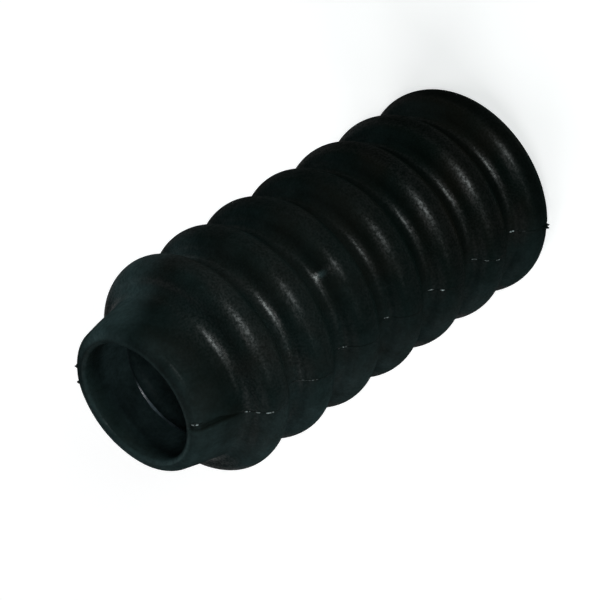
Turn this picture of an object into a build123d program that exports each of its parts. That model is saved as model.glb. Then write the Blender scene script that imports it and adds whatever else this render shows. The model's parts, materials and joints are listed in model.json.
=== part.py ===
"""Rubber bellows boot: seven round folds between a narrow neck and a wide, beaded end.

It is one moulded piece, open at both ends and turned about +Z. The origin is the centre of the
wide end's flat face, on which it stands, and +Z runs to the neck. The half section is drawn with
radius along X and height along Y, then stood up and revolved.
"""
from build123d import *
from math import acos, atan2, degrees
import os

# Driving dimensions, in millimetres
fold_count = 7
fold_radius = 17.5          # over the crests
fold_pitch = 10.0           # from crest to crest
fold_depth = 3.1            # from crest to root
fold_wall = 1.8             # thickness of the folded wall
crest_arc = 3.6             # radius of the round crests; the roots' radius follows from it

neck_bore_radius = 9.75     # the hole that grips the rod
neck_bore_length = 9.3      # from the rim to the bore's inner edge
neck_reach = 13.5           # from the nearest crest to the rim
neck_rim_wall = 2.35        # wall at the rim
neck_root_wall = 3.9        # wall where the neck leaves the folds
neck_root_fillet = 2.8
rim_outer_round = 1.6
rim_inner_round = 0.6

end_face_width = 2.4        # flat ring that the boot stands on, from the wide hole to the last crest's arc
end_bead_length = 3.0       # from that ring to the wide hole's inner edge
edge_round = 0.4            # the bores' other edges

# Crest and root arcs meet with no flat between them, so their radii add up to this.
bend_radius = ((fold_pitch / 2) ** 2 + fold_depth ** 2) / (2 * fold_depth)
root_arc = bend_radius - crest_arc
crest_axis = fold_radius - crest_arc                # distance of the crest arcs' centres from the axis
root_axis = fold_radius - fold_depth + root_arc     # the same for the root arcs
half_turn = degrees(atan2(fold_pitch / 2, root_axis - crest_axis))      # half of what each arc turns

end_bore_radius = crest_axis - end_face_width       # the hole that sits in the housing's groove

first_crest = crest_arc
last_crest = first_crest + (fold_count - 1) * fold_pitch
fold_top = last_crest + crest_arc
rim_height = last_crest + neck_reach
rim_radius = neck_bore_radius + neck_rim_wall
neck_root_radius = neck_bore_radius + neck_root_wall

bead_edge = (end_bore_radius, end_bead_length)
bore_edge = (neck_bore_radius, rim_height - neck_bore_length)
bead_corner = (end_bore_radius, 0)
rim_outer_corner = (rim_radius, rim_height)
rim_inner_corner = (neck_bore_radius, rim_height)


def fold_arcs(inset, start_angle, end_angle):
    """The chain of crest and root arcs, from the wide end to the neck, moved into the wall by inset.

    Angles are counted from +X: the first crest begins at start_angle and the last ends at end_angle.
    """
    arcs = []
    for index in range(fold_count):
        height = first_crest + index * fold_pitch
        begin = start_angle if index == 0 else -half_turn
        end = end_angle if index == fold_count - 1 else half_turn
        arcs.append(CenterArc((crest_axis, height), crest_arc - inset, begin, end - begin))
        if index < fold_count - 1:
            root = (root_axis, height + fold_pitch / 2)
            arcs.append(CenterArc(root, root_arc + inset, 180 + half_turn, -2 * half_turn))
    return arcs


def closed_face(arcs, *corners):
    """Face inside a chain of arcs, closed by straight lines from its end, by the corners, to its start."""
    return make_face([*arcs, *Polyline(arcs[-1] @ 1, *corners, arcs[0] @ 0).edges()])


def tangent_angle(corner, crest_height, side):
    """Angle on a crest's inner arc at which a straight line from the corner runs into it smoothly."""
    reach = Vector(*corner) - Vector(crest_axis, crest_height)
    spread = degrees(acos((crest_arc - fold_wall) / reach.length))
    return degrees(atan2(reach.Y, reach.X)) + side * spread


def rounded(face, corner, radius):
    """The face with a round at its vertex nearest to the corner."""
    return fillet(face.vertices().sort_by_distance((*corner, 0))[0], radius)


def outside():
    """Half section as if the boot were solid: the folds, their last crest and the tapered neck."""
    body = closed_face(fold_arcs(0, -90, 0), (0, last_crest), (0, 0))
    crest = Pos(crest_axis, last_crest) * Circle(crest_arc)
    taper = (neck_root_radius - rim_radius) / (rim_height - fold_top)
    foot_radius = neck_root_radius + taper * crest_arc
    neck = make_face(Polyline(
        (0, last_crest), (foot_radius, last_crest), rim_outer_corner, (0, rim_height), close=True))
    section = rounded(body + crest + neck, (neck_root_radius, fold_top), neck_root_fillet)
    return rounded(section, rim_outer_corner, rim_outer_round)


def hollow():
    """Half section of the two bores and of the folded space between them."""
    low = tangent_angle(bead_edge, first_crest, 1) % 360 - 360
    high = tangent_angle(bore_edge, last_crest, -1)
    section = closed_face(
        fold_arcs(fold_wall, low, high),
        bore_edge, rim_inner_corner, (0, rim_height), (0, 0), bead_corner, bead_edge)
    return rounded(rounded(section, bore_edge, edge_round), bead_edge, edge_round)


def bellows_boot():
    section = outside() - hollow()
    section = rounded(section, rim_inner_corner, rim_inner_round)
    section = rounded(section, bead_corner, edge_round)
    return revolve(Plane.XZ * section, Axis.Z)


boot = bellows_boot()
boot.label = "bellows_boot"
os.makedirs("parts", exist_ok=True)
export_step(boot, "parts/bellows_boot.step")
size = boot.bounding_box().size
print(f"bellows_boot {size.X:.2f} x {size.Y:.2f} x {size.Z:.2f} mm, {boot.volume / 1000:.2f} cm3,"
      f" crest arc {crest_arc:.2f}, root arc {root_arc:.2f}")
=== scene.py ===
# %% [markdown]
# # A rubber bellows boot
#
# The boot is a moulded sleeve of soft black rubber. Seven round folds let it stretch and bend over a
# sliding rod, the narrow neck grips the rod, and the beaded wide end snaps into a housing. It is one
# piece, so this file makes one main surface, and the work goes into what gives moulded rubber away:
# its even folds, the line where the mould's halves met, a skin that is black but not flat, and lamps
# that draw one soft streak on each fold.

import json
import math

import bpy
import numpy as np
from mathutils import Matrix, Vector


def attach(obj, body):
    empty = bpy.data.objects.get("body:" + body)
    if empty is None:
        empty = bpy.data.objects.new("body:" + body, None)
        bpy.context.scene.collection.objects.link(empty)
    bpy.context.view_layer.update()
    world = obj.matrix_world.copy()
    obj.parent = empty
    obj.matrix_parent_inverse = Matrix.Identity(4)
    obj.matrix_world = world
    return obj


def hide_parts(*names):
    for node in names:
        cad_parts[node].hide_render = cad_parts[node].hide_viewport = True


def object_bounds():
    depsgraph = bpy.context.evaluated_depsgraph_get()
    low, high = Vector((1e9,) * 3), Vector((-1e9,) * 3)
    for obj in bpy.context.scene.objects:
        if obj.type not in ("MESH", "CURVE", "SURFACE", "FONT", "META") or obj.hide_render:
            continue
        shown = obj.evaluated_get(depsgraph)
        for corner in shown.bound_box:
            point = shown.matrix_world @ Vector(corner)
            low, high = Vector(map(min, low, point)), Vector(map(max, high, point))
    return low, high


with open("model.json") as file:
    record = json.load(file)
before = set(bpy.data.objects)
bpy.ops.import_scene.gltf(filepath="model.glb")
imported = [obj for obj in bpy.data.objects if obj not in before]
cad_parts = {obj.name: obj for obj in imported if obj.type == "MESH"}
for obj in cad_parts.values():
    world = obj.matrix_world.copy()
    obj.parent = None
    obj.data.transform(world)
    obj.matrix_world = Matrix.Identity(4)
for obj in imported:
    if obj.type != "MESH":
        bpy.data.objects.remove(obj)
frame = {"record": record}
cad_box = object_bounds()
print("CAD box in mm:", [[round(value * 1000, 2) for value in corner] for corner in cad_box])

# %% [markdown]
# ## The camera
#
# The boot stands on its wide end, but it is looked at as if it lay down, with the neck towards the
# lower left. So the camera is rolled: it sits in front of the boot, looks down at the neck, and turns
# about its own line of sight. A long lens from 44 cm away keeps the near and far folds almost equal.

# %% Camera
mm = 0.001
camera_rise = math.radians(36.74)  # height of the camera above the floor, as an angle
camera_roll = math.radians(-123.41)  # turn about the line of sight
camera_distance = 436.2 * mm
camera_aim = Vector((-0.72, 0, 41.22)) * mm
sensor_width = 36.0  # of the camera's film, in mm
camera_lens = 172.95

camera_data = bpy.data.cameras.new("camera")
camera_data.sensor_width = sensor_width
camera_data.lens = camera_lens
camera = bpy.data.objects.new("camera", camera_data)
bpy.context.scene.collection.objects.link(camera)
backwards = Vector((0, -math.cos(camera_rise), math.sin(camera_rise)))
camera.matrix_world = (
    Matrix.Translation(camera_aim + camera_distance * backwards)
    @ Matrix.Rotation(math.pi / 2 - camera_rise, 4, "X")
    @ Matrix.Rotation(camera_roll, 4, "Z"))
bpy.context.scene.camera = camera
print("camera at", [round(value / mm, 1) for value in camera.location], "mm")

# %% [markdown]
# ## The section
#
# A bellows is a turned form, so its section says almost everything. Round crests and round roots meet
# with no flat between them, and the same chain of arcs, moved inwards by the wall, makes the hollow.
# The section is worked out as arcs and straight lines, each cut into steps of about the same length,
# because even steps give even facets and clean shading.

# %% Sizes of the section
fold_count = 7
fold_pitch = 10.0 * mm
fold_depth = 3.1 * mm
fold_wall = 1.8 * mm
crest_arc = 3.6 * mm
neck_rim_wall = 2.35 * mm
neck_root_wall = 3.9 * mm
neck_root_fillet = 2.8 * mm
neck_bore_length = 9.3 * mm
rim_outer_round = 1.6 * mm
rim_inner_round = 0.6 * mm
end_bead_length = 3.0 * mm
edge_round = 0.4 * mm

mounts = {mount["name"]: mount for mount in frame["record"]["mounts"]}
neck_bore_radius = mounts["neck_bore"]["dims"]["r_mm"] * mm
end_bore_radius = mounts["end_bore"]["dims"]["r_mm"] * mm
fold_radius = (cad_box[1].x - cad_box[0].x) / 2
rim_height = cad_box[1].z

# A crest's arc and a root's arc meet with the same slope, so their radii add up to a length that the
# pitch and the depth set: ((pitch / 2)^2 + depth^2) / (2 depth).
bend_radius = ((fold_pitch / 2) ** 2 + fold_depth ** 2) / (2 * fold_depth)
root_arc = bend_radius - crest_arc
crest_axis = fold_radius - crest_arc
root_axis = fold_radius - fold_depth + root_arc
half_turn = math.atan2(fold_pitch / 2, root_axis - crest_axis)
first_crest = crest_arc
last_crest = first_crest + (fold_count - 1) * fold_pitch
fold_top = last_crest + crest_arc
rim_radius = neck_bore_radius + neck_rim_wall
neck_root_radius = neck_bore_radius + neck_root_wall
print(f"root arc {root_arc / mm:.2f} mm, half turn {math.degrees(half_turn):.1f} degrees")


# %% Arcs, lines and rounds
def arc(centre, radius, start, end, step):
    """Points centre + radius * (cos a, sin a), for angles a spread evenly from start to end."""
    count = max(3, round(radius * abs(end - start) / step) + 1)
    angle = np.linspace(start, end, count)
    return np.asarray(centre) + radius * np.column_stack((np.cos(angle), np.sin(angle)))


def line(start, end, step):
    """Points start + t * (end - start), for t spread evenly from 0 to 1."""
    start, end = np.asarray(start), np.asarray(end)
    count = max(2, round(np.linalg.norm(end - start) / step) + 1)
    return start + np.linspace(0, 1, count)[:, None] * (end - start)


def round_corner(before, corner, after, radius, step):
    """Arc that touches both straight lines of a corner: its centre is on the line that halves the
    corner, at radius / sin(half the corner's angle) from it."""
    before, corner, after = (np.asarray(point) for point in (before, corner, after))
    to_before = (before - corner) / np.linalg.norm(before - corner)
    to_after = (after - corner) / np.linalg.norm(after - corner)
    half = math.acos(np.dot(to_before, to_after)) / 2
    middle = (to_before + to_after) / np.linalg.norm(to_before + to_after)
    centre = corner + middle * radius / math.sin(half)
    first = corner + to_before * radius / math.tan(half) - centre
    last = corner + to_after * radius / math.tan(half) - centre
    start = math.atan2(first[1], first[0])
    turn = (math.atan2(last[1], last[0]) - start + math.pi) % (2 * math.pi) - math.pi
    return arc(centre, radius, start, start + turn, step)


def tangent_angle(corner, crest_height, side):
    """Angle on a crest's inner arc at which a straight line from the corner runs into it smoothly."""
    reach = np.asarray(corner) - (crest_axis, crest_height)
    spread = math.acos((crest_arc - fold_wall) / np.linalg.norm(reach))
    return math.atan2(reach[1], reach[0]) + side * spread


def fold_chain(inset, start_angle, end_angle, step):
    """Crest and root arcs from the wide end to the neck, moved into the wall by inset."""
    pieces = []
    for index in range(fold_count):
        height = first_crest + index * fold_pitch
        begin = start_angle if index == 0 else -half_turn
        end = end_angle if index == fold_count - 1 else half_turn
        pieces.append(arc((crest_axis, height), crest_arc - inset, begin, end, step))
        if index < fold_count - 1:
            root = (root_axis, height + fold_pitch / 2)
            pieces.append(arc(root, root_arc + inset, math.pi + half_turn, math.pi - half_turn, step))
    return pieces


# %% Neck root
def neck_fillet_centre(foot, slope, outwards):
    """Centre of the neck root's fillet. It lies one fillet outside the neck's line, and crest_arc plus
    one fillet from the last crest's centre, which gives a quadratic for its place along the line."""
    start = foot + outwards * neck_root_fillet - (crest_axis, last_crest)
    reach = crest_arc + neck_root_fillet
    start_along = np.dot(start, slope)
    along = -start_along + math.sqrt(start_along ** 2 - np.dot(start, start) + reach ** 2)
    return np.array((crest_axis, last_crest)) + start + along * slope


taper = (neck_root_radius - rim_radius) / (rim_height - fold_top)
neck_foot = np.array((neck_root_radius + taper * crest_arc, last_crest))
rim_outer = np.array((rim_radius, rim_height))
rim_inner = np.array((neck_bore_radius, rim_height))
neck_slope = (rim_outer - neck_foot) / np.linalg.norm(rim_outer - neck_foot)
neck_outwards = np.array((neck_slope[1], -neck_slope[0]))
fillet_centre = neck_fillet_centre(neck_foot, neck_slope, neck_outwards)
crest_end = math.atan2(fillet_centre[1] - last_crest, fillet_centre[0] - crest_axis)
fillet_end = math.pi + math.atan2(neck_outwards[1], neck_outwards[0])
print(f"the last crest runs on to {math.degrees(crest_end):.1f} degrees,"
      f" its fillet to {math.degrees(fillet_end):.1f}")

# %% The whole section, as one closed loop
skin_step = 0.30 * mm
round_step = 0.12 * mm
inside_step = 1.2 * mm
same_place = 1e-9  # points nearer than this are one point


def chain(pieces, step):
    """Pieces run one after the other: a straight line bridges each gap, and shared ends count once."""
    points = [pieces[0]]
    for before, after in zip(pieces, pieces[1:]):
        gap = np.linalg.norm(after[0] - before[-1])
        if gap > step:
            points.append(line(before[-1], after[0], step)[1:-1])
        points.append(after if gap > same_place else after[1:])
    return np.vstack(points)


bead_corner = np.array((end_bore_radius, 0.0))
bead_edge = np.array((end_bore_radius, end_bead_length))
bore_edge = np.array((neck_bore_radius, rim_height - neck_bore_length))
ring_edge = np.array((crest_axis, 0.0))
low_angle = tangent_angle(bead_edge, first_crest, 1) % (2 * math.pi) - 2 * math.pi
high_angle = tangent_angle(bore_edge, last_crest, -1)
hollow = [piece[::-1] for piece in fold_chain(fold_wall, low_angle, high_angle, inside_step)[::-1]]

skin = chain([
    *fold_chain(0, -math.pi / 2, crest_end, skin_step),
    arc(fillet_centre, neck_root_fillet, crest_end + math.pi, fillet_end, 2 * round_step),
    round_corner(neck_foot, rim_outer, rim_inner, rim_outer_round, 2 * round_step)], skin_step)
inside = chain([
    round_corner(rim_outer, rim_inner, bore_edge, rim_inner_round, 2 * round_step),
    round_corner(rim_inner, bore_edge, hollow[0][0], edge_round, round_step),
    *hollow,
    round_corner(hollow[-1][-1], bead_edge, bead_corner, edge_round, 2 * round_step),
    round_corner(bead_edge, bead_corner, ring_edge, edge_round, 2 * round_step)], inside_step)
section = np.vstack((skin, inside))
on_skin = np.arange(len(section)) < len(skin)
run = np.roll(section, -1, axis=0) - np.roll(section, 1, axis=0)
run /= np.linalg.norm(run, axis=1)[:, None]
section_normal = np.column_stack((run[:, 1], -run[:, 0]))
print(f"section: {len(skin)} points on the skin, {len(inside)} inside")

# %% [markdown]
# ## Turning the section into a surface
#
# The surface has two parameters: the place along the section and the angle round the axis. A plain
# turning would space the angles evenly, but the mould's halves meet in two thin lines that need fine
# facets, so the angles crowd together there and at one small dent, and spread out elsewhere.

# %% Angles round the axis
column_count = 228
fine_count = 20001
seam_angles = np.radians((-134.5, 45.5))
# Angle in degrees where the columns crowd together, how wide the crowd is, and how dense it is.
crowds = [(-134.5, 2.4, 5.0), (45.5, 2.4, 3.0), (-87.0, 3.0, 1.6)]


def angle_between(first, second):
    """Signed difference of two angles, from -pi to pi."""
    return (first - second + math.pi) % (2 * math.pi) - math.pi


def crowded_angles(count):
    """Angles whose density is 1 plus gain * exp(-(distance / width)^2) for each crowd: the density is
    added up round the circle, and even shares of the sum are read back as angles."""
    fine = np.linspace(-math.pi, math.pi, fine_count)
    density = np.ones_like(fine)
    for centre, width, gain in crowds:
        distance = angle_between(fine, math.radians(centre)) / math.radians(width)
        density += gain * np.exp(-distance ** 2)
    total = np.concatenate(([0], np.cumsum((density[1:] + density[:-1]) / 2)))
    return np.interp(np.arange(count) / count * total[-1], total, fine)


angles = crowded_angles(column_count)
column_gaps = np.degrees(np.diff(angles))
print(f"{column_count} columns, {column_gaps.min():.2f} to {column_gaps.max():.2f} degrees apart;"
      f" {len(section) * column_count * 2} triangles")

# %% [markdown]
# ## What the mould left
#
# A moulded boot is never quite a turned form. The mould's two halves did not close in line, so one half
# of the skin stands a little off the other. The skin is a little wavy where the rubber shrank, and a
# few spots are dented. The open rim was pulled off a core while warm, so it leans and draws in. Each of
# these is a formula in the two parameters that moves the skin inwards or along itself, never out of
# the boot's box. The inside only leans with the rim, because nobody sees the rest of it move.

# %% Helpers for smooth changes
def smooth_step(low, high, values):
    """0 below low, 1 above high, and 3 t^2 - 2 t^3 between them."""
    share = np.clip((values - low) / (high - low), 0, 1)
    return share * share * (3 - 2 * share)


def bump_shape(distance, reach):
    """Round bump (1 - (distance / reach)^2)^2 inside its reach, and 0 outside."""
    return np.clip(1 - (distance / reach) ** 2, 0, 1) ** 2


# %% Waviness
wave_count = 16
wave_depth = 0.07 * mm
full_wave_height = 3 * mm  # the waves have grown to their full depth here
generator = np.random.default_rng(7)
# Each wave's whole turns round the axis, its radians per metre of height, and its phase.
wave_turns = generator.integers(1, 9, wave_count)
wave_rises = generator.uniform(-450, 450, wave_count)
wave_phases = generator.uniform(0, 2 * math.pi, wave_count)


def waviness(angle, height):
    """Depth below the turned skin: half the wave depth times 1 plus a level from -1 to 1, which is the
    sum of the waves' cosines over half their number. The depth is 0 at the wide end, which stands flat
    on the floor."""
    waves = sum(
        np.cos(turns * angle + rise * height + phase)
        for turns, rise, phase in zip(wave_turns, wave_rises, wave_phases))
    level = np.clip(waves / (wave_count / 2), -1, 1)
    return wave_depth / 2 * (1 + level) * smooth_step(0, full_wave_height, height)


print(f"{wave_count} waves, up to {wave_depth / mm:.2f} mm deep")


# %% Spots and dents
# Height of each small dent in mm, its angle in degrees, its reach along the skin and its depth in mm,
# and how pale it has gone.
# The first dent's paleness is partly a painted glint.
dents = [
    (46.9, -87.3, 0.80, 0.13, 0.20), (45.6, -101.0, 0.9, 0.07, 0.02), (65.4, -60.5, 0.5, 0.08, 0.06),
    (37.0, -115.0, 0.8, 0.05, 0.01), (25.8, -66.0, 0.7, 0.05, 0.01), (57.9, -112.0, 0.9, 0.06, 0.02),
    (33.5, 20.0, 0.9, 0.08, 0.02), (52.0, 118.0, 1.1, 0.08, 0.02)]


def spot_shape(angle, height, radius, spot_height, spot_degrees, reach):
    """Round bump about a place on the skin, measured along the skin as if it were flat there."""
    across = angle_between(angle, math.radians(spot_degrees)) * radius
    return bump_shape(np.hypot(across, height - spot_height * mm), reach * mm)


def dent_depth(angle, height, radius):
    """Sum of the dents, each its depth times a round bump."""
    depth = np.zeros_like(angle)
    for dent_height, dent_degrees, reach, deep, _ in dents:
        depth += deep * mm * spot_shape(angle, height, radius, dent_height, dent_degrees, reach)
    return depth


# %% Mould halves out of line
mould_shift = 0.08 * mm
mould_set = 0.04 * mm
step_half_width = 0.10 * mm
seam_direction = np.array((math.cos(seam_angles[0]), math.sin(seam_angles[0]), 0.0))


def mould_offset(angle, radius):
    """Half of the skin slides along the seams' direction: the change is a tanh across each seam. The
    slide goes away from the front seam on one half only, and a small inward set keeps it in the box."""
    across = np.sin(angle - seam_angles[0]) * radius
    share = (np.tanh(across / step_half_width) - 1) / 2
    outwards = np.stack((np.cos(angle), np.sin(angle), np.zeros_like(angle)), axis=-1)
    return share[..., None] * (seam_direction * mould_shift + outwards * mould_set)


# %% The torn seam on the neck
notch_depth = 0.26 * mm
notch_start = (68.2 * mm, 69.6 * mm)  # heights over which the notch opens
notch_growth = (69.0 * mm, 73.0 * mm)  # heights over which it grows wider and deeper
notch_widening = 4.5  # how far its first edge moves back over the seam, in degrees
notch_shallow = 0.45  # share of the depth that it has before it grows
notch_edges = ((-0.5, 2.0), (1.3, 3.2))  # angles past the seam over which it falls in and comes out


def past_seam(angle):
    """Angle past the front seam, in degrees."""
    return -np.degrees(angle_between(angle, seam_angles[0]))


def across_notch(angle, height, first_edge, last_edge):
    """Share from 0 to 1 and back to 0 across the notch. Each edge is two angles past the seam, and the
    first one moves back over the seam as the notch grows."""
    past = past_seam(angle)
    moved = past + notch_widening * smooth_step(*notch_growth, height)
    return smooth_step(*first_edge, moved) * (1 - smooth_step(*last_edge, past))


def neck_notch(angle, height):
    """Depth of the notch. Where the neck's flash was torn off it took some rubber with it: the notch
    starts as a point at the neck's root, and is some five degrees wide at the rim."""
    grown = notch_shallow + (1 - notch_shallow) * smooth_step(*notch_growth, height)
    along = grown * smooth_step(*notch_start, height)
    return notch_depth * across_notch(angle, height, *notch_edges) * along


# %% Rim
rim_lean = 0.057
rim_draw = 0.16 * mm
rim_draw_heights = (72.3 * mm, 77.0 * mm)


def rim_drop(across, height):
    """Fall of the rim: lean * (distance from its highest side), from nothing at the neck's root."""
    return smooth_step(last_crest, rim_height, height) * rim_lean * (rim_radius - across)


def rim_inset(height):
    """The neck draws in towards the rim over its last few millimetres."""
    return rim_draw * smooth_step(*rim_draw_heights, height)


# %% The formed skin, as one function
def turned(radius, height, angle):
    """Points (radius * cos a, radius * sin a, height) for each angle a."""
    return np.stack((radius * np.cos(angle), radius * np.sin(angle), height), axis=-1)


def formed(radius, height, out_radius, out_height, angle, is_skin):
    """Points of the boot. The turned point moves against its normal by waves, dents, the notch and the
    rim's inset, then slides with its half of the mould, and last it drops with the rim."""
    sink = waviness(angle, height) + dent_depth(angle, height, radius)
    sink = (sink + neck_notch(angle, height) + rim_inset(height)) * is_skin
    points = turned(radius - out_radius * sink, height - out_height * sink, angle)
    points = points + mould_offset(angle, radius) * is_skin[..., None]
    points[..., 2] -= rim_drop(points[..., 0], height)
    return points


# %% The boot's grid
def over_columns(values):
    """One value for each row, repeated over the columns."""
    return np.repeat(np.asarray(values, dtype=float)[:, None], column_count, axis=1)


radius_grid = over_columns(section[:, 0])
height_grid = over_columns(section[:, 1])
out_radius_grid = over_columns(section_normal[:, 0])
out_height_grid = over_columns(section_normal[:, 1])
skin_grid = over_columns(on_skin)
angle_grid = np.repeat(angles[None, :], len(section), axis=0)
boot_points = formed(
    radius_grid, height_grid, out_radius_grid, out_height_grid, angle_grid, skin_grid)
print("formed, lowest and highest in mm:",
      (boot_points.min(axis=(0, 1)) / mm).round(2), (boot_points.max(axis=(0, 1)) / mm).round(2))

# %% [markdown]
# ## The mesh
#
# A grid becomes a mesh in one go: the corner numbers of all quads are worked out as one array, and the
# points are handed over with foreach_set. Every grid here closes on itself or shrinks to a point at its
# ends, so no mesh has a border. Numbers that change over the surface are stored on the points as
# attributes, where the materials find them.

# %% Grid to mesh
def grid_mesh(name, points, rows_close):
    """Mesh of quads on a grid whose columns close into rings, and whose rows close too or stop. Each
    quad goes to the next column first and then to the next row, which points it outwards."""
    row_count, column_total = points.shape[:2]
    quad_rows = row_count if rows_close else row_count - 1
    row, column = np.meshgrid(np.arange(quad_rows), np.arange(column_total), indexing="ij")
    this_row = row * column_total
    next_row = (row + 1) % row_count * column_total
    next_column = (column + 1) % column_total
    corners = np.stack(
        (this_row + column, this_row + next_column, next_row + next_column, next_row + column), axis=-1)
    mesh = bpy.data.meshes.new(name)
    mesh.vertices.add(row_count * column_total)
    mesh.vertices.foreach_set("co", points.astype(np.float32).ravel())
    mesh.loops.add(corners.size)
    mesh.loops.foreach_set("vertex_index", corners.astype(np.int32).ravel())
    mesh.polygons.add(corners.size // 4)
    mesh.polygons.foreach_set("loop_start", np.arange(0, corners.size, 4, dtype=np.int32))
    mesh.polygons.foreach_set("use_smooth", np.ones(corners.size // 4, dtype=bool))
    mesh.update(calc_edges=True)
    return mesh


def add_numbers(mesh, name, values):
    """Store one number for each point of the mesh."""
    numbers = mesh.attributes.new(name, "FLOAT", "POINT").data
    numbers.foreach_set("value", values.astype(np.float32).ravel())


def add_object(name, data):
    """Object at the origin, linked to the scene."""
    thing = bpy.data.objects.new(name, data)
    bpy.context.scene.collection.objects.link(thing)
    return thing


boot_mesh = grid_mesh("boot", boot_points, rows_close=True)
boot = add_object("boot", boot_mesh)
print(f"boot: {len(boot_mesh.polygons)} quads")

# %% [markdown]
# ## Dust, painted light and shine by place
#
# Black rubber is never one black. A pale layer holds some dust and also painted light: painted fill
# light on flanks that face up and inside the boot, a painted sheen on the lower side and the rim, and
# painted patches of light and shade. Painted shade darkens the faces that look straight out, and the
# shine is strongest where the mould was polished. Each of these is a short list of numbers by height,
# by side or by spot. The lists are read at every point of the grid, combined and stored on the mesh.
# Lists like these are easy to tune: one number moves one band.

# %% Lists by height
# Height along the axis in mm, how pale the skin is there with dust and painted light, how much crests
# and roots shine, and how much painted shade darkens the faces that look straight out.
skin_heights = (0, 4, 13, 23, 33, 43, 53, 62, 67.5, 69, 71, 73.5, 76, 78)
skin_dust_and_light = (
    0.012, 0.010, 0.007, 0.008, 0.016, 0.024, 0.032, 0.036, 0.030, 0.022, 0.022, 0.034, 0.058, 0.065)
crest_shine = (0.04, 0.06, 0.12, 0.12, 0.065, 0.062, 0.075, 0.08, 0.15, 0.08, 0.035, 0.03, 0.02, 0.02)
root_shine = (0.10, 0.12, 0.13, 0.13, 0.08, 0.075, 0.20, 0.24, 0.27, 0.09, 0.035, 0.03, 0.02, 0.02)
painted_shade = (1.0, 1.0, 0.95, 0.85, 0.55, 0.50, 0.45, 0.40, 0.35, 0.30, 0.25, 0.1, 0.0, 0.0)
# The same for the inside: painted fill light, most in the hollow and least in the bore near the rim.
inside_heights = (0, 60, 67.0, 68.5, 72.4, 74.4, 76.4, 77.0)
inside_fill_light = (0.172, 0.414, 0.517, 0.437, 0.345, 0.06, 0.05, 0.14)
inside_shine = 0.03

# %% Lists by side
# Angle in degrees, how the pale layer of dust and painted light changes on that side, painted sheen
# that is added there at every height, how much the side shines, and how much painted shade its faces
# that look straight out get.
sides = (-180, -165, -145, -125, -105, -70, -52, -32, -8, 25, 60, 100, 140, 180)
dust_and_light_sides = (1.5, 1.5, 1.4, 1.2, 0.9, 0.9, 1.0, 1.1, 1.4, 1.3, 1.0, 0.9, 1.2, 1.5)
side_sheen = (
    0.054, 0.056, 0.031, 0.005, 0.0, 0.0, 0.0, 0.0, 0.012, 0.0, 0.0, 0.0, 0.010, 0.025)
shine_sides = (0.18, 0.12, 0.15, 0.46, 1.00, 1.20, 0.66, 0.42, 0.50, 0.70, 0.85, 0.80, 0.75, 0.60)
painted_shade_sides = (0.0, 0.0, 0.1, 0.8, 1.0, 1.0, 1.0, 1.0, 0.3, 0.3, 0.6, 0.6, 0.4, 0.0)

# %% Lists of spots
# Height in mm, angle in degrees, reach in mm and strength. The patches are painted light, or painted
# shade below zero.
painted_patches = [
    (63, -1, 11.0, 0.345), (73.5, -2, 10.5, 0.32), (68.5, -54, 6.5, 0.020),
    (71.0, -176, 8.0, 0.050), (77.0, -149, 4.5, -0.030)]
# A dull spot loses this share of its shine, a bright one gains this much, and the shade spot loses this
# share of its pale layer, which paints shade.
dull_spots = [
    (46.8, -78, 3.6, 0.75), (46.2, -99, 4.5, 0.80), (66.8, -14, 7.0, 0.75), (66.5, -174, 5.5, 0.80)]
bright_spots = [(68, -70, 5.5, 0.14), (46.8, -87.6, 1.2, 0.62)]
shade_spot = (68.9, -132, 2.4, 0.45)


# %% Reading the lists
def by_height(values):
    """Values of the skin's list, read at every point's height."""
    return np.interp(height_grid / mm, skin_heights, values)


def by_side(values):
    """Values of the sides' list, read at every point's angle."""
    return np.interp(np.degrees(angle_grid), sides, values)


def by_spot(height, degrees, reach, strength):
    """Strength of one spot at every point."""
    return strength * spot_shape(angle_grid, height_grid, radius_grid, height, degrees, reach)


def side_bump(angle, degrees, reach):
    """Round bump over one side: 1 at an angle in degrees, and 0 further from it than its reach."""
    return bump_shape(angle_between(angle, math.radians(degrees)), math.radians(reach))


# The notch's painted shade: heights over which it begins, heights over which half of it goes again, and
# angles past the seam over which it begins and ends.
dark_start = (68.0 * mm, 69.4 * mm)
dark_end = (75.5 * mm, 76.6 * mm)
dark_edges = ((-0.8, 1.6), (1.4, 2.8))


def in_notch():
    """Share of the notch's painted shade: the band between the notch's two edges, on the neck."""
    along = smooth_step(*dark_start, height_grid)
    along *= 1 - 0.5 * smooth_step(*dark_end, height_grid)
    return across_notch(angle_grid, height_grid, *dark_edges) * along


# %% Dust
# Each side is an angle in degrees and how far it reaches from there.
lower_side, far_side, right_side, unlit_side = (-168, 42), (105, 85), (-12, 50), (165, 60)
# Change of the painted sheen on the lower side, in the roots and from there to the crests.
lower_root_sheen, lower_crest_sheen = -0.10, 0.62
crest_radii = (14.6 * mm, 16.8 * mm)  # radii over which a root turns into a crest
# Painted light that is added to the rim's flat all round and on the far side, to flanks, and below
# the notch.
rim_sheen, far_rim_sheen, flank_fill_light, below_notch_light = 0.015, 0.23, 0.035, 0.020
flat_rim_height = 75.5 * mm  # the rim's flat is above this height
rim_slopes = (0.2, 0.8)  # how far up a normal points where the flat begins and is whole
flank_slopes = (0.45, 0.75)  # the same for flanks that face up
below_heights = (67.5 * mm, 70 * mm)  # heights over which the painted light below the notch sets in
below_angles = ((1.5, 4.0), (24, 40))  # angles past the seam over which it sets in and ends
notch_shade = 0.65  # share of the pale layer that the notch loses, which paints its shade
pale_reach = 0.9  # share of a dent's reach that has gone pale
unlit_fill = 1.3  # how much more painted fill light the inside's unlit side has


def light_on_rim():
    """Painted sheen on the flat of the rim, most of it on the far side."""
    on_flat = smooth_step(*rim_slopes, out_height_grid) * (height_grid > flat_rim_height)
    return on_flat * (rim_sheen + far_rim_sheen * side_bump(angle_grid, *far_side))


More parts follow.
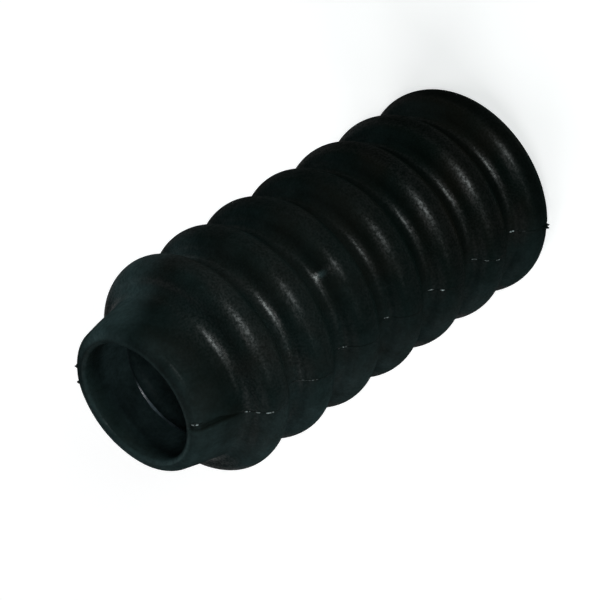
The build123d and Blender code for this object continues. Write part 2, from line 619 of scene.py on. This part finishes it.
def light_on_flanks():
    """Painted fill light on the flanks that face up, on the right side, where the grooves shade them.
    """
    facing_up = smooth_step(*flank_slopes, out_height_grid) * side_bump(angle_grid, *right_side)
    return flank_fill_light * facing_up


def light_below_notch():
    """Painted light on the neck past the notch."""
    past = past_seam(angle_grid)
    start, end = below_angles
    below = smooth_step(*start, past) * (1 - smooth_step(*end, past))
    return below_notch_light * (below * smooth_step(*below_heights, height_grid))


def fill_light_inside():
    """Painted fill light of the inside by height, and more on the side that the lamps don't reach."""
    dust_and_light = np.interp(height_grid / mm, inside_heights, inside_fill_light)
    return dust_and_light * (1 + unlit_fill * side_bump(angle_grid, *unlit_side))


def dust_and_light_grid():
    """Pale layer, partly soiling and partly painted light: by height times by side, plus the side's
    painted sheen. On the lower side the crests get more painted sheen and the roots less. The rim, the
    flanks that face up and the neck past the notch add painted light, the painted patches add light or
    shade, the dents add paleness, and the notch and the shade spot lose some, which paints shade."""
    dust_and_light = by_height(skin_dust_and_light) * by_side(dust_and_light_sides) + by_side(side_sheen)
    lower = lower_crest_sheen * smooth_step(*crest_radii, radius_grid) + lower_root_sheen
    dust_and_light *= 1 + side_bump(angle_grid, *lower_side) * lower
    dust_and_light = dust_and_light + light_on_rim() + light_on_flanks() + light_below_notch()
    dust_and_light += sum(by_spot(*patch) for patch in painted_patches)
    dust_and_light *= (1 - notch_shade * in_notch()) * (1 - by_spot(*shade_spot))
    for height, degrees, reach, _, pale in dents:
        dust_and_light += by_spot(height, degrees, pale_reach * reach, pale)
    return np.where(skin_grid > 0.5, dust_and_light, fill_light_inside())


# %% Painted shade on faces that look straight out, and shine
root_radii = (15.2 * mm, 16.6 * mm)  # radii over which the roots' shine gives way to the crests'
straight_slopes = (0.88, 1.0)  # how far a normal points out where the painted shade begins
middle_slopes = (0.94, 1.0)  # the same for the roots' dull middles
dragged_slopes = (0.05, 0.45)  # how far a normal points down on the dragged flanks
# Share of the shine that is lost on dragged flanks, in the roots' middles, on faces with painted shade
# and in the notch.
dragged_loss, root_loss, shade_shine_loss, notch_loss = 0.5, 0.6, 0.7, 0.8


def painted_shade_grid():
    """Share of painted shade: faces that look straight out, not flanks, are painted darker."""
    straight_out = smooth_step(*straight_slopes, out_radius_grid)
    return skin_grid * straight_out * by_height(painted_shade) * by_side(painted_shade_sides)


def shine_grid():
    """Shine by height and depth in the folds, times shine by side, with the dull and the bright spots.
    The flanks that face the wide end were dragged over the mould and are duller, and so are the roots'
    middles, the faces with painted shade and the torn notch."""
    in_root = 1 - smooth_step(*root_radii, radius_grid)
    shine = by_height(crest_shine) * (1 - in_root) + by_height(root_shine) * in_root
    shine = shine * by_side(shine_sides)
    for spot in dull_spots:
        shine = shine * (1 - by_spot(*spot))
    for spot in bright_spots:
        shine = shine + by_spot(*spot)
    dragged = 1 - dragged_loss * smooth_step(*dragged_slopes, -out_height_grid)
    dull_root = 1 - root_loss * in_root * smooth_step(*middle_slopes, out_radius_grid)
    shine = shine * dragged * dull_root
    shine = shine * (1 - shade_shine_loss * painted_shade_grid()) * (1 - notch_loss * in_notch())
    return np.where(skin_grid > 0.5, shine, inside_shine)


for name, values in (("dust_and_light", dust_and_light_grid()), ("shine", shine_grid()), ("painted_shade", painted_shade_grid())):
    add_numbers(boot_mesh, name, values)
    print(f"{name}: {values.min():.3f} to {values.max():.3f}")

# %% [markdown]
# ## Flash
#
# Rubber crept into the gap between the mould's halves and was torn off by hand. What stays is a line
# that can hardly be seen, with a few ragged bits where the tear was not clean, mostly low in the roots
# between the folds. The bits are smaller than the boot's facets, so the flash is a strip of its own: a
# thin closed band that follows the seam over every fold, half sunk in the skin, and as tall as the bits
# are. Its torn edge is paler than the moulded skin, partly as torn rubber is and partly as a painted
# glint, and that is what catches the eye.

# %% Seam path
flash_step = 0.11 * mm
# Height along the axis in mm, and how far the front seam strays there, in degrees.
stray_heights = (0, 1.5, 7.7, 14.3, 17.3, 26.3, 37.5, 47.3, 56.0, 67.6)
stray_degrees = (0.0, 0.0, 2.0, -1.0, 1.5, 0.0, 1.5, 2.0, 0.5, -0.5)

skin_run = np.concatenate(([0], np.cumsum(np.linalg.norm(np.diff(skin, axis=0), axis=1))))
seam_run = np.arange(1.0 * mm, skin_run[-1] - 0.3 * mm, flash_step)
seam_section = np.column_stack([np.interp(seam_run, skin_run, skin[:, axis]) for axis in (0, 1)])
seam_out = np.column_stack([
    np.interp(seam_run, skin_run, section_normal[:len(skin), axis]) for axis in (0, 1)])
seam_stray = np.radians(np.interp(seam_section[:, 1] / mm, stray_heights, stray_degrees))
print(f"seam: {skin_run[-1] / mm:.1f} mm along the skin, {len(seam_run)} steps")

# %% Bits of flash
# Height of each bit along the axis, its half length and how far it stands proud, in mm.
front_bits = [
    (67.75, 0.38, 0.30), (66.80, 0.22, 0.20), (65.65, 0.50, 0.32), (56.60, 1.30, 0.12),
    (48.00, 0.28, 0.18), (47.30, 0.32, 0.28), (37.55, 0.42, 0.28), (27.50, 0.48, 0.20),
    (26.35, 0.28, 0.24), (17.30, 0.36, 0.14), (16.10, 0.32, 0.24), (14.30, 0.48, 0.20),
    (7.70, 0.38, 0.30), (6.60, 0.32, 0.14), (2.90, 0.85, 0.95)]
back_bits = [
    (68.0, 0.60, 0.28), (57.0, 0.50, 0.18), (46.9, 0.40, 0.22), (36.7, 0.60, 0.16),
    (27.4, 0.40, 0.24), (16.9, 0.55, 0.20), (6.9, 0.40, 0.22), (2.2, 0.50, 0.30)]
rim_nub = [(76.35, 0.45, 0.40)]
torn_nub = [(76.80, 0.40, 0.38)]
thin_flash = 0.012 * mm  # height of the flash between the bits
thin_step = 0.9 * mm  # how often it changes along the seam
bit_step = 0.22 * mm  # how often a bit's torn top changes
bit_low, bit_change = 0.45, 0.75  # lowest share of a bit's height at its top, and the change
top_seed = 50  # added to a strip's seed for its torn tops


def ragged(seed, step, places):
    """Noise from 0 to 1 along the seam: random values a step apart, joined by straight lines."""
    knots = np.arange(0, places[-1] + 2 * step, step)
    return np.interp(places, knots, np.random.default_rng(seed).uniform(0, 1, len(knots)))


def flash_height(bits, seed):
    """Thin flash times ragged noise, plus a hump sqrt(1 - (distance / half length)^2) with a ragged top
    for each bit."""
    tall = thin_flash * ragged(seed, thin_step, seam_run)
    top = bit_low + bit_change * ragged(seed + top_seed, bit_step, seam_run)
    for height, half_length, proud in bits:
        distance = (seam_section[:, 1] - height * mm) / (half_length * mm)
        near = np.clip(1 - distance ** 2, 0, 1)
        tall = np.maximum(tall, proud * mm * np.sqrt(near) * top)
    return tall


# %% Flash strip
flash_half_width = 0.12 * mm
flash_root = 0.06 * mm  # how deep the strip sits in the skin
wide_bit = 0.25 * mm  # a bit this tall has the widest strip
thin_width, bit_width = 0.8, 0.7  # share of the half width that thin flash has, and bits add
torn_bit = 0.2 * mm  # a point that stands this far proud is torn and fully pale, partly a painted glint
foot_heights = (4.2 * mm, 5.5 * mm)  # below these the nub at the wide end is hardly torn
foot_torn = 0.05  # how torn it still is there
# The strip's section has nine points: seven over the skin, whose height is tall * (1 - across^2)^2, and
# two under it.
strip_across = np.array((-1.0, -0.62, -0.3, 0.0, 0.3, 0.62, 1.0, 0.6, -0.6))
strip_over = np.array((0.0, 0.38, 0.83, 1.0, 0.83, 0.38, 0.0, 0.0, 0.0))
strip_under = np.array((0.35, 0, 0, 0, 0, 0, 0.35, 1.0, 1.0))


def over_strip(values):
    """One value for each step along the seam, repeated over the strip's section."""
    return np.repeat(values[:, None], len(strip_across), axis=1)


def flash_points(seam, bits, seed, part):
    """Band that carries the strip's section along one part of the seam, and shrinks to a point at both
    ends. The second result is how torn each point is, which also sets its painted glint: it grows with
    how far the point stands proud."""
    tall = flash_height(bits, seed)
    width = flash_half_width * (thin_width + bit_width * np.clip(tall / wide_bit, 0, 1))
    shrink = np.ones(len(seam_run))
    shrink[np.flatnonzero(part)[[0, -1]]] = 0
    aside = (width * shrink)[:, None] * strip_across
    angle = seam + seam_stray[:, None] + aside / seam_section[:, :1]
    sunk = shrink[:, None] * strip_under + (1 - shrink[:, None])
    lifted = (tall * shrink)[:, None] * strip_over - flash_root * sunk
    radius, height = over_strip(seam_section[:, 0]), over_strip(seam_section[:, 1])
    out_radius, out_height = over_strip(seam_out[:, 0]), over_strip(seam_out[:, 1])
    points = formed(radius, height, out_radius, out_height, angle, np.ones_like(angle))
    points = points + turned(out_radius, out_height, angle) * lifted[..., None]
    torn = lifted / torn_bit * (foot_torn + (1 - foot_torn) * smooth_step(*foot_heights, height))
    return points[part], torn[part]


# %% The five strips
front_end, nub_start = 68.3, 75.5  # heights in mm where the front strip stops, and nubs start
seam_heights = seam_section[:, 1] / mm
# Name, angle of the seam, bits, seed of the noise, and the part of the seam that is kept.
strips = [
    ("flash_front", seam_angles[0], front_bits, 3, seam_heights < front_end),
    ("flash_back", seam_angles[1], back_bits, 4, seam_heights > 0),
    ("rim_nub_low", math.radians(40), rim_nub, 5, seam_heights > nub_start),
    ("rim_nub_high", math.radians(54), rim_nub, 8, seam_heights > nub_start),
    ("rim_nub_torn", math.radians(-128.6), torn_nub, 9, seam_heights > nub_start)]
flash_pieces = []
for name, seam, bits, seed, part in strips:
    band, torn = flash_points(seam, bits, seed, part)
    mesh = grid_mesh(name, band, rows_close=False)
    add_numbers(mesh, "torn", np.clip(torn, 0, 1))
    flash_pieces.append(add_object(name, mesh))
    print(f"{name}: {len(mesh.polygons)} quads")

# %% [markdown]
# ## The ridge inside the neck
#
# The mould's core ended in a small step, and the rubber copied it as a ridge round the end of the bore.
# A paler grey band is painted on its upper face as a painted highlight, where the front lamp's light
# comes back up, and the coat shines there too, so one short bright line shows deep inside the neck. The
# ridge is a ring with a section of its own. The slope of its upper face matters more than its size: it
# has to send the front lamp's light back up through the neck's opening.

# %% Ridge at the end of the bore
ridge_height = 67.90 * mm
ridge_steps = 420
ridge_knots = 61
ridge_far_side = (105, 55)  # the ridge is largest on this side
ridge_small, ridge_growth = 0.40, 0.50  # its size elsewhere, and how much larger it is there
# The ridge's section: how far each point lies outside the bore's wall, and how high above its tip. Its
# upper face slopes as the mould's core did, and it is sunk in the wall.
ridge_out = np.array((0.25, 0.02, -0.04, -0.10, -0.16, -0.21, -0.23, -0.21, -0.15, 0.0, 0.25)) * mm
ridge_up = np.array((0.42, 0.365, 0.272, 0.180, 0.088, 0.011, -0.06, -0.13, -0.20, -0.28, -0.35)) * mm
ridge_turn = np.arange(ridge_steps) / ridge_steps * 2 * math.pi


def ridge_points():
    """Ring with the ridge's section. Its size changes a little round the turn by ragged noise, and it
    is largest on the far side."""
    knots = np.random.default_rng(12).uniform(0.75, 1.15, ridge_knots)
    knots[-1] = knots[0]
    size = np.interp(ridge_turn, np.linspace(0, 2 * math.pi, ridge_knots), knots)
    size = size * (ridge_small + ridge_growth * side_bump(ridge_turn, *ridge_far_side))
    size = size[:, None]
    points = turned(
        neck_bore_radius + size * ridge_out, ridge_height + size * ridge_up, ridge_turn[:, None])
    points[..., 2] -= rim_drop(points[..., 0], points[..., 2])
    return points[:, ::-1]


ridge_mesh = grid_mesh("bore_ridge", ridge_points(), rows_close=True)
# Painted highlight on the ridge: its level all round, and then angle, reach and strength of the two
# sides where it is painted.
ridge_glint = np.full(ridge_steps, 0.04)
for degrees, reach, strength in ((95, 26, 0.90), (120, 30, 0.16)):
    ridge_glint += strength * side_bump(ridge_turn, degrees, reach)
add_numbers(ridge_mesh, "glint", np.repeat(ridge_glint, len(ridge_out)))
ridge = add_object("bore_ridge", ridge_mesh)
print(f"bore_ridge: {len(ridge_mesh.polygons)} quads")

# %% [markdown]
# ## Black rubber
#
# The base colour is close to black, a little greener or browner in soft patches, and a pale layer of
# dust and painted light blends over it, with painted shade on the faces that look straight out. The
# gloss comes from a weak, rough coat and not from the base, because the weight of a coat can change
# from place to place and still be carried into an exported file. A fine bump breaks up the edges of
# the streaks, as the mould's grain does. Torn rubber is paler, partly because a torn surface is rough
# and holds dust, and partly as a painted glint on the flash.

# %% Node helpers
class Finish:
    """A material with its default shader, and short ways to add and join its nodes."""

    def __init__(self, name):
        self.material = bpy.data.materials.new(name)
        self.material.use_nodes = True
        self.tree = self.material.node_tree
        self.shader = self.tree.nodes["Principled BSDF"]

    def add(self, kind):
        """New node of this kind."""
        return self.tree.nodes.new(kind)

    def feed(self, socket, value):
        """Link a socket to another node's output, or set it to a number or a colour."""
        if isinstance(value, bpy.types.NodeSocket):
            self.tree.links.new(value, socket)
        else:
            socket.default_value = (*value, 1) if isinstance(value, tuple) else value

    def shade(self, values):
        """Feed the shader's sockets by name."""
        for name, value in values.items():
            self.feed(self.shader.inputs[name], value)

    def stored(self, name):
        """A number stored on the points."""
        node = self.add("ShaderNodeAttribute")
        node.attribute_name = name
        return node.outputs["Fac"]

    def noise(self, place, scale, detail, rough):
        """Noise texture on a coordinate output. A scale of 1000 has grains of about a millimetre."""
        node = self.add("ShaderNodeTexNoise")
        names = ("Vector", "Scale", "Detail", "Roughness")
        for name, value in zip(names, (place, scale, detail, rough)):
            self.feed(node.inputs[name], value)
        return node.outputs["Fac"]

    def spread(self, value, limits, new_limits):
        """Values between two limits mapped to new limits, and held there outside them."""
        node = self.add("ShaderNodeMapRange")
        names = ("Value", "From Min", "From Max", "To Min", "To Max")
        for name, number in zip(names, (value, *limits, *new_limits)):
            self.feed(node.inputs[name], number)
        return node.outputs["Result"]

    def blend(self, share, first, second):
        """Colour between two colours. Sockets 6 and 7 of a Mix node take its colours, and output 2 is
        the blended one."""
        node = self.add("ShaderNodeMix")
        node.data_type = "RGBA"
        for socket, value in (("Factor", share), (6, first), (7, second)):
            self.feed(node.inputs[socket], value)
        return node.outputs[2]

    def reckon(self, operation, first, second):
        """Sum, product or other result of two numbers."""
        node = self.add("ShaderNodeMath")
        node.operation = operation
        for socket, value in zip(node.inputs, (first, second)):
            self.feed(socket, value)
        return node.outputs[0]

    def times(self, first, second):
        """Product of two numbers."""
        return self.reckon("MULTIPLY", first, second)


# %% Rubber
black_green = (0.0008, 0.0018, 0.0013)
black_brown = (0.0021, 0.0021, 0.0014)
shaded_black = (0.0003, 0.0007, 0.0005)
dust_and_light_grey = (0.057, 0.099, 0.103)
shade_darkening = 0.75  # share of the skin's colour that painted shade turns to its black
shaded_dust_share = 0.5  # share of the pale layer that painted shade leaves
coat_index = 1.5

rubber = Finish("black_rubber")
place = rubber.add("ShaderNodeTexCoord").outputs["Object"]
patches = rubber.noise(place, scale=90, detail=2, rough=0.5)
patches = rubber.spread(patches, (0.42, 0.62), (0, 1))
cloud = rubber.noise(place, scale=260, detail=3, rough=0.55)
cloud = rubber.spread(cloud, (0.30, 0.70), (0.70, 1.30))
fine_pale_noise = rubber.noise(place, scale=1500, detail=2, rough=0.6)
fine_pale_noise = rubber.spread(fine_pale_noise, (0.30, 0.70), (0.80, 1.20))
# Painted shade darkens the skin and thins the pale layer on faces that look straight out.
painted_shade_share = rubber.stored("painted_shade")
shade_dust_factor = rubber.spread(painted_shade_share, (0.0, 1.0), (1.0, shaded_dust_share))
# The pale layer that blends over the skin is dust and painted light.
dust_and_light = rubber.times(rubber.times(rubber.stored("dust_and_light"), rubber.times(cloud, fine_pale_noise)), shade_dust_factor)
skin_colour = rubber.blend(patches, black_green, black_brown)
darkened = rubber.times(painted_shade_share, shade_darkening)
skin_colour = rubber.blend(darkened, skin_colour, shaded_black)
sparkle = rubber.noise(place, scale=3000, detail=2, rough=0.5)
sparkle = rubber.spread(sparkle, (0.36, 0.66), (0.35, 1.80))
rubber.shade({
    "Base Color": rubber.blend(dust_and_light, skin_colour, dust_and_light_grey),
    "Roughness": 0.6, "Specular IOR Level": 0.0,
    "Coat Weight": rubber.times(rubber.stored("shine"), sparkle),
    "Coat Roughness": 0.32, "Coat IOR": coat_index})
boot_mesh.materials.append(rubber.material)
print(f"black_rubber: {len(rubber.tree.nodes)} nodes")

# %% Grain of the skin
grain_depth = 0.011 * mm
coarse_share = 2.0  # height of the coarse grain against the fine one
fine_grain = rubber.noise(place, scale=5200, detail=3, rough=0.6)
coarse_grain = rubber.noise(place, scale=1900, detail=2, rough=0.5)
bump = rubber.add("ShaderNodeBump")
rubber.feed(bump.inputs["Strength"], 1.0)
rubber.feed(bump.inputs["Distance"], grain_depth)
grain = rubber.reckon("ADD", fine_grain, rubber.times(coarse_grain, coarse_share))
rubber.feed(bump.inputs["Height"], grain)
rubber.shade({"Normal": bump.outputs["Normal"], "Coat Normal": bump.outputs["Normal"]})
print(f"grain: {grain_depth / mm:.3f} mm deep")

# %% Torn rubber, with a painted glint
torn_glint_grey = (0.16, 0.19, 0.19)
thin_black = (0.0016, 0.0028, 0.0024)

torn_rubber_glint = Finish("torn_rubber_glint")
place = torn_rubber_glint.add("ShaderNodeTexCoord").outputs["Object"]
speckle = torn_rubber_glint.noise(place, scale=3200, detail=2, rough=0.6)
speckle = torn_rubber_glint.spread(speckle, (0.38, 0.62), (0.0, 1.0))
# Torn paleness is partly torn rubber and partly a painted glint.
pale = torn_rubber_glint.spread(torn_rubber_glint.stored("torn"), (0.15, 0.9), (0.0, 1.0))
torn_rubber_glint.shade({
    "Base Color": torn_rubber_glint.blend(torn_rubber_glint.times(pale, speckle), thin_black, torn_glint_grey),
    "Roughness": 0.6, "Specular IOR Level": 0.0,
    "Coat Weight": torn_rubber_glint.spread(pale, (0.0, 1.0), (0.02, 0.16)),
    "Coat Roughness": 0.30, "Coat IOR": coat_index})
print(f"torn_rubber_glint: {len(torn_rubber_glint.tree.nodes)} nodes")

# %% Painted highlight on the ridge
ridge_black = (0.010, 0.017, 0.018)
ridge_glint_grey = (0.170, 0.235, 0.275)

glint_edge = Finish("glint_edge")
place = glint_edge.add("ShaderNodeTexCoord").outputs["Object"]
patchy = glint_edge.noise(place, scale=1100, detail=2, rough=0.6)
patchy = glint_edge.spread(patchy, (0.35, 0.65), (0.45, 1.0))
# The grey band and the coat follow the painted highlight.
glint = glint_edge.times(glint_edge.stored("glint"), patchy)
glint_edge.shade({
    "Base Color": glint_edge.blend(glint, ridge_black, ridge_glint_grey),
    "Roughness": 0.5, "Specular IOR Level": 0.0,
    "Coat Weight": glint, "Coat Roughness": 0.22, "Coat IOR": coat_index})
print(f"glint_edge: {len(glint_edge.tree.nodes)} nodes")

# %% Finishes and the body they ride on
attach(boot, "root")
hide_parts("bellows_boot")
for piece in flash_pieces:
    piece.data.materials.append(torn_rubber_glint.material)
    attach(piece, "root")
ridge_mesh.materials.append(glint_edge.material)
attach(ridge, "root")
print(f"{len(flash_pieces) + 2} pieces ride on root")

# %% [markdown]
# ## Floor, lamps and surroundings
#
# The boot stands on white paper in front of a strong lamp, which is low and wide: it draws the long
# soft streaks across the folds. A weak one beside it carries the streaks on to the left, and one above
# it lights the ridge inside the neck. Large weak lamps on the left and behind keep the dark sides
# readable. The floor glows a little towards the camera and into reflections, so it comes out white
# beside a black part, but it keeps the shadow.

# %% Floor
floor_half = 2.0
floor_grey = (0.84, 0.84, 0.84)
floor_glow = 0.44

floor_mesh = bpy.data.meshes.new("floor")
corners = [(-floor_half, -floor_half, 0), (floor_half, -floor_half, 0),
           (floor_half, floor_half, 0), (-floor_half, floor_half, 0)]
floor_mesh.from_pydata(corners, [], [(0, 1, 2, 3)])
floor = add_object("floor", floor_mesh)
paper = Finish("white_floor")
seen = paper.add("ShaderNodeLightPath").outputs
looked_at = paper.reckon("MAXIMUM", seen["Is Camera Ray"], seen["Is Glossy Ray"])
looked_at = paper.reckon("MAXIMUM", looked_at, seen["Is Transmission Ray"])
paper.shade({
    "Base Color": floor_grey, "Roughness": 0.9, "Specular IOR Level": 0.0,
    "Emission Color": (1, 1, 1), "Emission Strength": paper.times(looked_at, floor_glow)})
floor_mesh.materials.append(paper.material)
print(f"floor: {2 * floor_half:.0f} m wide")

# %% Lamps
middle = Vector((0, 0, rim_height / 2))
lamp_distance = 0.8
white = (1, 1, 1)
cool_white = (0.92, 1.0, 0.99)


def lamp(name, azimuth, rise, width, height, share, colour):
    """Area lamp that faces the boot's middle and gives a surface that faces it this share of the plain
    level, which is pi: its power is share * pi * pi * distance^2. Azimuth 0 is in front, 90 on +X."""
    data = bpy.data.lights.new(name, "AREA")
    data.shape = "RECTANGLE"
    data.size, data.size_y = width, height
    data.energy = share * math.pi ** 2 * lamp_distance ** 2
    data.color = colour
    lamp_object = add_object(name, data)
    turn, lift = math.radians(azimuth), math.radians(rise)
    direction = Vector((
        math.sin(turn) * math.cos(lift), -math.cos(turn) * math.cos(lift), math.sin(lift)))
    lamp_object.location = middle + direction * lamp_distance
    lamp_object.rotation_euler = direction.to_track_quat("Z", "Y").to_euler()
    lamp_object.visible_camera = False


# Name, azimuth and rise in degrees, width and height in metres, share of the plain level, and colour.
lamps = [
    ("key", 4, 11, 0.28, 0.10, 1.08, cool_white),
    ("key_side", -36, 11, 0.40, 0.12, 0.14, cool_white),
    ("front", -6, 35, 0.26, 0.14, 0.18, white),
    ("left", -90, 40, 0.4, 0.4, 0.24, white),
    ("low_left", -120, 10, 0.4, 0.3, 0.19, white),
    ("back_left", -150, 40, 0.4, 0.4, 0.26, white),
    ("back_right", 150, 40, 0.4, 0.4, 0.14, white)]
for values in lamps:
    lamp(*values)
print(f"{len(lamps)} lamps, {lamp_distance} m from the boot")

# %% Surroundings
world_white = (0.93, 0.97, 1.0, 1)
world_strength = 0.05

world = bpy.data.worlds.new("world")
world.use_nodes = True
background = world.node_tree.nodes["Background"]
background.inputs["Color"].default_value = world_white
background.inputs["Strength"].default_value = world_strength
bpy.context.scene.world = world
bpy.context.scene.view_settings.view_transform = "Standard"
